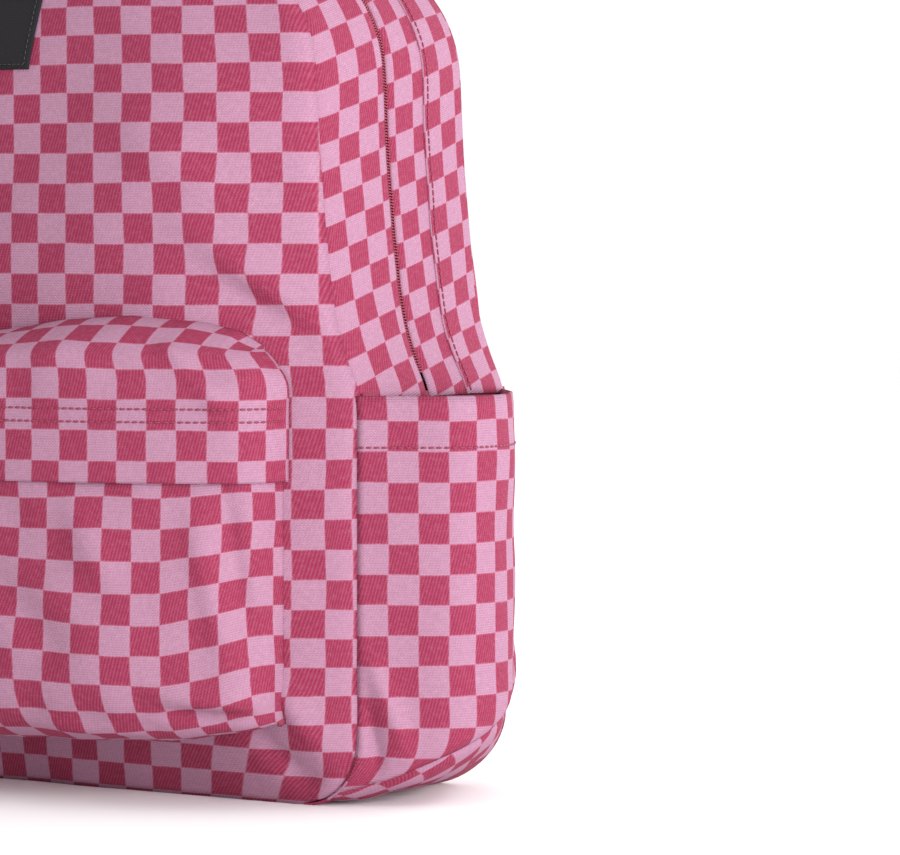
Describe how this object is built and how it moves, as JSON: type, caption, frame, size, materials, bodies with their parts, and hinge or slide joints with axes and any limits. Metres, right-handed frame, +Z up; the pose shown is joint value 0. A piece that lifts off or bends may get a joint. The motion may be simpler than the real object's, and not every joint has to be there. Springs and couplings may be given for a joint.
{
  "type": "school_backpack",
  "caption": "School backpack in two-tone check canvas with a flapped front pocket, stretched side pockets, padded straps and a haul loop",
  "frame": {"origin": "centre of the flat base where it rests on the floor", "axes": "+X towards the side pocket on the right as seen from the front, +Y towards the wearer, +Z up"},
  "size_m": [0.4046, 0.2438, 0.4495],
  "materials": {
    "check_canvas": "printed woven polyester canvas in two-tone check",
    "plain_canvas": "plain rose woven polyester",
    "pad_mesh": "padded spacer mesh",
    "foam": "closed-cell foam",
    "lining": "thin polyester lining",
    "webbing": "ribbed polyester webbing",
    "label_felt": "woven black label",
    "zip_tape": "knitted zip tape",
    "zip_coil": "nylon coil",
    "slider_metal": "painted die-cast zinc",
    "buckle_plastic": "moulded acetal",
    "board": "polyethylene board",
    "elastic": "woven elastic"
  },
  "bodies": {
    "bag": {"front_panel_lower": "check_canvas", "front_gusset_foot_left": "check_canvas", "front_gusset_foot_right": "check_canvas", "zip_lip_rear": "check_canvas", "rear_gusset": "check_canvas", "side_panel_left": "check_canvas", "side_panel_right": "check_canvas", "pocket_yoke": "check_canvas", "pocket_front": "check_canvas", "side_pocket_left": "check_canvas", "side_pocket_right": "check_canvas", "side_pocket_hem_left": "check_canvas", "side_pocket_hem_right": "check_canvas", "base_panel": "check_canvas", "back_panel": "check_canvas", "strap_yoke": "plain_canvas", "anchor_wing_left": "plain_canvas", "anchor_wing_right": "plain_canvas", "back_pad_left": "pad_mesh", "back_pad_right": "pad_mesh", "back_pad_lumbar": "pad_mesh", "back_foam": "foam", "back_lining": "lining", "laptop_sleeve": "lining", "haul_loop_tabs": "webbing", "laptop_sleeve_binding": "webbing", "main_zip_tape_rear": "zip_tape", "pocket_zip_tape_lower": "zip_tape", "pocket_zip_tape_upper": "zip_tape", "main_zip_coil_rear": "zip_coil", "pocket_zip_coil": "zip_coil", "main_zip_stops": "zip_coil", "base_board": "board", "hem_elastic_left": "elastic", "hem_elastic_right": "elastic"},
    "lid": {"front_panel_upper": "check_canvas", "front_gusset": "check_canvas", "label_patch": "label_felt", "main_zip_tape_front": "zip_tape", "main_zip_coil_front": "zip_coil"},
    "slider_left": {"main_slider_left": "slider_metal"},
    "slider_right": {"main_slider_right": "slider_metal"},
    "pull_left": {"main_pull_left": "slider_metal"},
    "pull_right": {"main_pull_right": "slider_metal"},
    "pocket_slider": {"pocket_slider": "slider_metal", "pocket_pull": "slider_metal"},
    "flap": {"pocket_flap": "check_canvas"},
    "loop": {"haul_loop": "webbing"},
    "strap_left": {"shoulder_strap_left": "check_canvas", "strap_tab_left": "webbing", "ladder_lock_left": "buckle_plastic"},
    "strap_right": {"shoulder_strap_right": "check_canvas", "strap_tab_right": "webbing", "ladder_lock_right": "buckle_plastic"},
    "webbing_left": {"adjuster_webbing_left": "webbing"},
    "webbing_right": {"adjuster_webbing_right": "webbing"}
  },
  "joints": [
    {"name": "lid_fold", "type": "hinge", "parent": "bag", "child": "lid", "pos_m": [0, -0.1075, 0.214], "axis": [1, 0, 0], "range_deg": [0, 70]},
    {"name": "left_slider_run", "type": "hinge", "parent": "lid", "child": "slider_left", "pos_m": [0, -0.007, 0.24166], "axis": [0, -1, 0], "range_deg": [0, 40]},
    {"name": "left_pull_flip", "type": "hinge", "parent": "slider_left", "child": "pull_left", "pos_m": [-0.00836, -0.007, 0.4127], "axis": [0, 1, 0], "range_deg": [0, 95]},
    {"name": "right_slider_run", "type": "hinge", "parent": "lid", "child": "slider_right", "pos_m": [0, -0.007, 0.24166], "axis": [0, 1, 0], "range_deg": [0, 40]},
    {"name": "right_pull_flip", "type": "hinge", "parent": "slider_right", "child": "pull_right", "pos_m": [0.00836, -0.007, 0.4127], "axis": [0, -1, 0], "range_deg": [0, 95]},
    {"name": "pocket_slider_run", "type": "hinge", "parent": "bag", "child": "pocket_slider", "pos_m": [0, 0.09735, 0.1575], "axis": [0, 0, 1], "range_deg": [0, 48]},
    {"name": "flap_lift", "type": "hinge", "parent": "bag", "child": "flap", "pos_m": [0, -0.1395, 0.172], "axis": [-1, 0, 0], "range_deg": [0, 35], "stiffness_Nm_per_rad": 0.05, "springref_deg": -17.19},
    {"name": "loop_flop", "type": "hinge", "parent": "bag", "child": "loop", "pos_m": [0, 0.0594, 0.4095], "axis": [1, 0, 0], "range_deg": [-95, 75], "stiffness_Nm_per_rad": 0.03},
    {"name": "left_strap_swing", "type": "hinge", "parent": "bag", "child": "strap_left", "pos_m": [-0.06235, 0.066, 0.36403], "axis": [0.9848, 0, -0.1736], "range_deg": [0, 20]},
    {"name": "left_webbing_swing", "type": "hinge", "parent": "bag", "child": "webbing_left", "pos_m": [-0.11913, 0.0606, 0.042], "axis": [-0.9848, 0, 0.1736], "range_deg": [0, 36]},
    {"name": "right_strap_swing", "type": "hinge", "parent": "bag", "child": "strap_right", "pos_m": [0.06235, 0.066, 0.36403], "axis": [0.9848, 0, 0.1736], "range_deg": [0, 20]},
    {"name": "right_webbing_swing", "type": "hinge", "parent": "bag", "child": "webbing_right", "pos_m": [0.11913, 0.0606, 0.042], "axis": [-0.9848, 0, -0.1736], "range_deg": [0, 36]}
  ],
  "couplings": [
    {"joint": "left_webbing_swing", "follows": "left_strap_swing", "ratio": 1.8},
    {"joint": "right_webbing_swing", "follows": "right_strap_swing", "ratio": 1.8}
  ]
}
